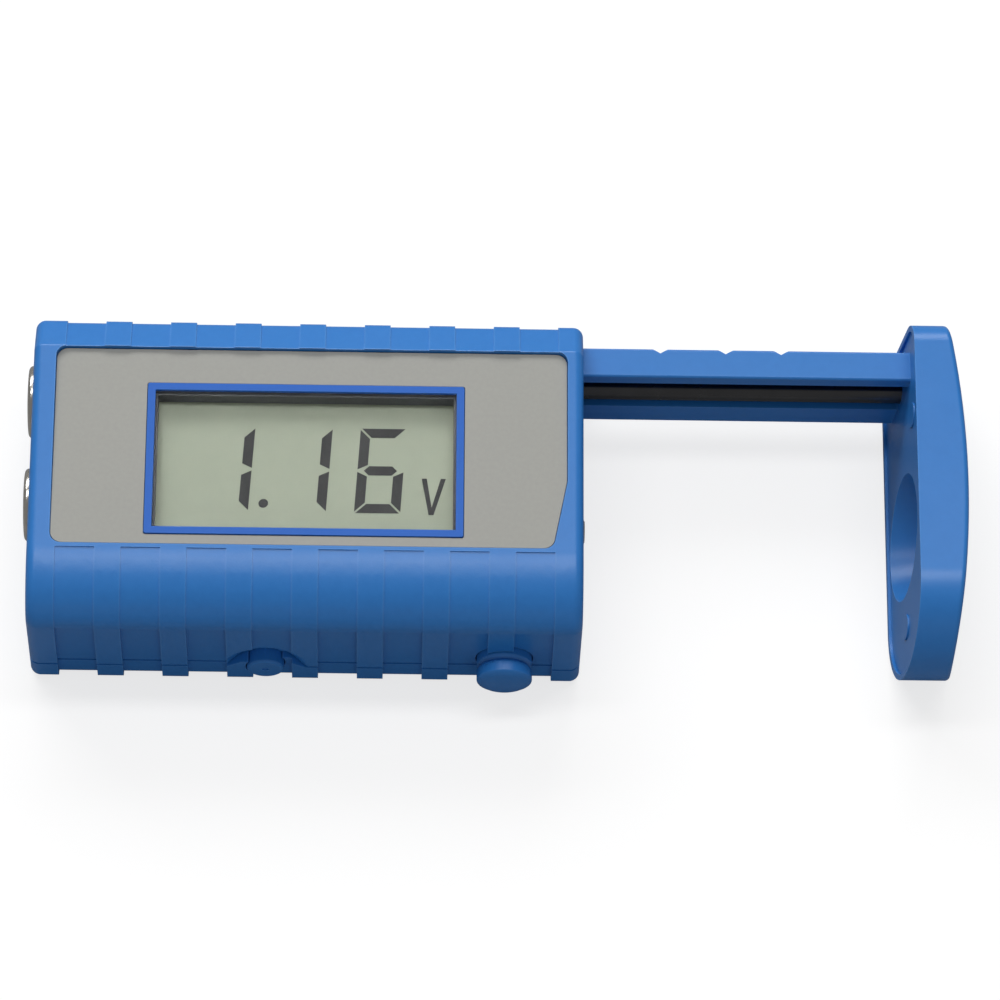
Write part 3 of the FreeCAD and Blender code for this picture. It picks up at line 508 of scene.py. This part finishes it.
def clean_copy(node):
    """A welded copy of a node's mesh, which stands for that node."""
    mesh = nodes[node].data.copy()
    mesh.name = node + "_moulded"
    loose_normals = mesh.attributes.get("custom_normal")
    if loose_normals is not None:
        mesh.attributes.remove(loose_normals)
    work = bmesh.new()
    work.from_mesh(mesh)
    bmesh.ops.remove_doubles(work, verts=work.verts, dist=WELD_DISTANCE * MM)
    bmesh.ops.dissolve_limit(work, angle_limit=math.radians(FLAT_ANGLE), verts=work.verts, edges=work.edges)
    for face in work.faces:
        face.smooth = True
    work.to_mesh(mesh)
    work.free()
    piece = add_object(node + "_moulded", mesh)
    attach(piece, nodes[node]["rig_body"])
    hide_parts(node)
    return piece


print("corners before welding", sum(len(piece.data.vertices) for piece in nodes.values()))

# %% [markdown]
# ## Shells
# The ribs of the shells have steps of a few tenths of a millimetre, too small to carry a bevel all round.
# So their corners are marked as sharp and stay crisp, and normals weighted by area keep the large faces even
# in the light. Where the shells meet, the upper one has a chamfer on its outer rim, at the front and the
# ends. It makes the shadow line of the joint. Edge weights tell the modifier which edges those are.

# %% Corner helpers
CORNER_ANGLE = 40.0
FACE_WEIGHT = 100
RIM_REACH = 1.1
RIM_NEAR = 0.01

shell_low, shell_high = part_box("top_shell")


def on_rim(edge):
    """Whether an edge is on the upper shell's lowest level, near the outer face of its front or an end."""
    places = [corner.co for corner in edge.verts]
    level = all(abs(place.z - shell_low.z) < RIM_NEAR * MM for place in places)
    outer = all(abs(place.x) > shell_high.x - RIM_REACH * MM or place.y < shell_low.y + RIM_REACH * MM
                for place in places)
    return level and outer


def mark_corners(mesh):
    """Mark a shell's corners as sharp, and give those on the rim a weight."""
    work = bmesh.new()
    work.from_mesh(mesh)
    weight = work.edges.layers.float.new("bevel_weight_edge")
    for edge in work.edges:
        if edge.calc_face_angle(0.0) > math.radians(CORNER_ANGLE):
            edge.smooth = False
            edge[weight] = 1.0 if on_rim(edge) else 0.0
    work.to_mesh(mesh)
    work.free()


def keep_faces_even(piece):
    """Weight a piece's normals by area, so that a bevel doesn't shade the faces beside it."""
    even = piece.modifiers.new("flat_faces", "WEIGHTED_NORMAL")
    even.mode = "FACE_AREA"
    even.weight = FACE_WEIGHT
    even.keep_sharp = True


print("rim at height", round(shell_low.z / MM, 2))

# %% Crisp shells
RIM_CHAMFER = 0.3

top_shell = clean_copy("top_shell")
mark_corners(top_shell.data)
chamfer = top_shell.modifiers.new("seam_chamfer", "BEVEL")
chamfer.width = RIM_CHAMFER * MM
chamfer.segments = 1
chamfer.limit_method = "WEIGHT"
chamfer.use_clamp_overlap = False
keep_faces_even(top_shell)
bottom_shell = clean_copy("bottom_shell")
mark_corners(bottom_shell.data)
keep_faces_even(bottom_shell)
print("shells", len(top_shell.data.polygons), len(bottom_shell.data.polygons))

# %% [markdown]
# ## Softened mouldings
# A moulded edge is never quite sharp: the tool leaves a small radius that catches a line of light. On the
# arm, the buttons, the face plate and the bezel there is room for it, so a narrow bevel goes on every edge
# that turns sharply. The test button has the widest, because a thumb has to rest on its rim.

# %% Soften the smaller pieces
EDGE_SEGMENTS = 2
EDGE_RADIUS = {"slide_arm": 0.15, "arm_end_cap": 0.12, "test_button": 0.3, "hold_button": 0.1,
               "faceplate": 0.06, "display_bezel": 0.06}

for name, radius in EDGE_RADIUS.items():
    piece = clean_copy(name)
    bevel = piece.modifiers.new("edge_radius", "BEVEL")
    bevel.width = radius * MM
    bevel.segments = EDGE_SEGMENTS
    bevel.limit_method = "ANGLE"
    bevel.angle_limit = math.radians(CORNER_ANGLE)
    bevel.use_clamp_overlap = True
    keep_faces_even(piece)
    print(piece.name, len(piece.data.polygons))

# %% [markdown]
# ## Seated window
# The window rests on a narrow ledge of its carrier. A copy of it is cut a hair shorter at its underside,
# so that light can pass between the two faces that touch, and the ledge doesn't go black.

# %% Seat the window
LENS_LIFT = 0.03

window_low, window_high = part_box("display_lens")
lens_mesh = nodes["display_lens"].data.copy()
lens_mesh.name = "display_lens_seated"
for vertex in lens_mesh.vertices:
    vertex.co.z = max(vertex.co.z, window_low.z + LENS_LIFT * MM)
lens = add_object("display_lens_seated", lens_mesh)
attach(lens, "case")
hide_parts("display_lens")
print("window", len(lens_mesh.polygons))

# %% [markdown]
# ## Figures of the display
# The display shows three seven-segment figures, a point and a small unit sign. A picture of them would blur
# up close, so each segment is a thin bar on the glass, with slanted ends that leave a narrow gap to its
# neighbours. All lean forward a little, as on most such displays. Places are millimetres from the middle of
# the window to the lower left corner of a figure.

# %% Segments
DIGIT_HEIGHT = 14.0
DIGIT_WIDTH = 6.9
DIGIT_BASE = -7.15
DIGITS = ((-15.3, "1"), (-3.7, "1"), (7.4, "6"))
SEGMENTS_OF = {"1": "bc", "6": "acdefg"}
SEGMENT_WIDTH = 1.5
SEGMENT_GAP = 0.22
SEGMENT_THICKNESS = 0.06
LEAN = 0.06

window_middle = (window_low + window_high) / 2 / MM
glass_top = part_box("lcd_panel")[1].z / MM


def lowered(outline):
    """An outline mirrored from the upper half of a figure to its lower half."""
    return [(x, DIGIT_HEIGHT - y) for x, y in outline]


def moved_left(outline):
    """An outline mirrored from the right side of a figure to its left side."""
    return [(DIGIT_WIDTH - x, y) for x, y in outline]


def segment_outlines():
    """The corners of the seven segments before the lean: a at the top, round to f, and g in the middle."""
    right = DIGIT_WIDTH
    top = DIGIT_HEIGHT
    middle = DIGIT_HEIGHT / 2
    half = SEGMENT_WIDTH / 2
    gap = SEGMENT_GAP
    inner_left = SEGMENT_WIDTH + gap
    inner_right = right - SEGMENT_WIDTH - gap
    upper_right = [(right, top - gap), (right, middle + gap), (right - SEGMENT_WIDTH, middle + half + gap),
                   (right - SEGMENT_WIDTH, top - SEGMENT_WIDTH - gap)]
    lower_right = lowered(upper_right)
    top_bar = [(gap, top), (right - gap, top), (inner_right, top - SEGMENT_WIDTH),
               (inner_left, top - SEGMENT_WIDTH)]
    middle_bar = [(gap + half, middle), (inner_left, middle + half), (inner_right, middle + half),
                  (right - gap - half, middle), (inner_right, middle - half), (inner_left, middle - half)]
    return {"a": top_bar, "b": upper_right, "c": lower_right, "d": lowered(top_bar),
            "e": moved_left(lower_right), "f": moved_left(upper_right), "g": middle_bar}


def add_bar(work, outline, left, base):
    """A thin prism of one outline, leaning forward, on the display's glass."""
    rings = []
    for level in (glass_top, glass_top + SEGMENT_THICKNESS):
        corner = Vector((window_middle.x + left, window_middle.y + base, level))
        places = [corner + Vector((x + LEAN * y, y, 0.0)) for x, y in outline]
        rings.append([work.verts.new(place * MM) for place in places])
    lower, upper = rings
    work.faces.new(upper)
    work.faces.new(list(reversed(lower)))
    for index in range(len(outline)):
        following = (index + 1) % len(outline)
        work.faces.new((lower[index], lower[following], upper[following], upper[index]))


figure_work = bmesh.new()
outlines = segment_outlines()
for left, figure in DIGITS:
    for segment in SEGMENTS_OF[figure]:
        add_bar(figure_work, outlines[segment], left, DIGIT_BASE)
print("bars", sum(len(SEGMENTS_OF[figure]) for left, figure in DIGITS))

# %% [markdown]
# ## Point and unit sign
# The point is round, with enough sides to look so, and the unit sign is a V drawn as one outline: two
# strokes that crossed would leave faces inside each other. Both join the bars in one mesh on the glass.

# %% Point and unit
POINT_RADIUS = 0.72
POINT_SIDES = 20
POINT_LEFT = -6.89
POINT_BASE = -6.5
UNIT_HEIGHT = 6.0
UNIT_WIDTH = 3.6
UNIT_STROKE = 0.75
UNIT_CROTCH = 1.2
UNIT_LEFT = 17.1
UNIT_BASE = -7.35

turns = [math.tau * step / POINT_SIDES for step in range(POINT_SIDES)]
point = [(POINT_RADIUS * (1 + math.cos(turn)), POINT_RADIUS * (1 + math.sin(turn))) for turn in turns]
add_bar(figure_work, point, POINT_LEFT, POINT_BASE)
unit_middle = UNIT_WIDTH / 2
unit = [(unit_middle - UNIT_STROKE / 2, 0.0), (unit_middle + UNIT_STROKE / 2, 0.0),
        (UNIT_WIDTH, UNIT_HEIGHT), (UNIT_WIDTH - UNIT_STROKE, UNIT_HEIGHT), (unit_middle, UNIT_CROTCH),
        (UNIT_STROKE, UNIT_HEIGHT), (0.0, UNIT_HEIGHT)]
add_bar(figure_work, unit, UNIT_LEFT, UNIT_BASE)
bmesh.ops.recalc_face_normals(figure_work, faces=figure_work.faces)
figure_mesh = bpy.data.meshes.new("display_figures")
figure_work.to_mesh(figure_mesh)
figure_work.free()
figure_mesh.materials.append(FINISHES["segment_black"])
figures = add_object("display_figures", figure_mesh)
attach(figures, "case")
print("figures", len(figure_mesh.polygons))

# %% [markdown]
# ## Cross slots of the case screws
# The four screws that close the case sit in deep holes of the underside. A cross slot is cut into each
# head, by taking two crossed bars away from a copy of the screws' mesh. The screws are one node, so the
# middle of each one is found by walking along its edges from corner to corner.

# %% Screw heads
SLOT_LENGTH = 2.9
SLOT_WIDTH = 0.62
SLOT_DEPTH = 1.0
SLOT_OVERLAP = 0.5


def add_box(work, middle, size):
    """A box of the given size around a middle."""
    made = bmesh.ops.create_cube(work, size=1.0)
    bmesh.ops.scale(work, vec=size, verts=made["verts"])
    bmesh.ops.translate(work, vec=middle, verts=made["verts"])


def solid_middles(mesh):
    """The middle in X and Y of each separate solid of a mesh."""
    work = bmesh.new()
    work.from_mesh(mesh)
    unseen = set(work.verts)
    middles = []
    while unseen:
        solid = [unseen.pop()]
        for corner in solid:
            neighbours = {edge.other_vert(corner) for edge in corner.link_edges} & unseen
            unseen -= neighbours
            solid.extend(neighbours)
        xs = [corner.co.x for corner in solid]
        ys = [corner.co.y for corner in solid]
        middles.append(((min(xs) + max(xs)) / 2, (min(ys) + max(ys)) / 2))
    work.free()
    return sorted(middles)


screws = clean_copy("case_screws")
slot_height = (SLOT_DEPTH + SLOT_OVERLAP) * MM
slot_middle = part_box("case_screws")[0].z + (SLOT_DEPTH - SLOT_OVERLAP) / 2 * MM
slot_work = bmesh.new()
for x, y in solid_middles(screws.data):
    add_box(slot_work, (x, y, slot_middle), (SLOT_LENGTH * MM, SLOT_WIDTH * MM, slot_height))
    add_box(slot_work, (x, y, slot_middle), (SLOT_WIDTH * MM, SLOT_LENGTH * MM, slot_height))
slot_mesh = bpy.data.meshes.new("cross_slots")
slot_work.to_mesh(slot_mesh)
slot_work.free()
slots = add_object("cross_slots", slot_mesh)
slotted = screws.modifiers.new("cross_slot", "BOOLEAN")
slotted.object = slots
slotted.operation = "DIFFERENCE"
slotted.solver = "EXACT"
slotted.use_self = True
evaluated = screws.evaluated_get(bpy.context.evaluated_depsgraph_get())
cut_mesh = bpy.data.meshes.new_from_object(evaluated)
screws.modifiers.clear()
screws.data = cut_mesh
bpy.data.objects.remove(slots)
print("screws", len(cut_mesh.polygons))
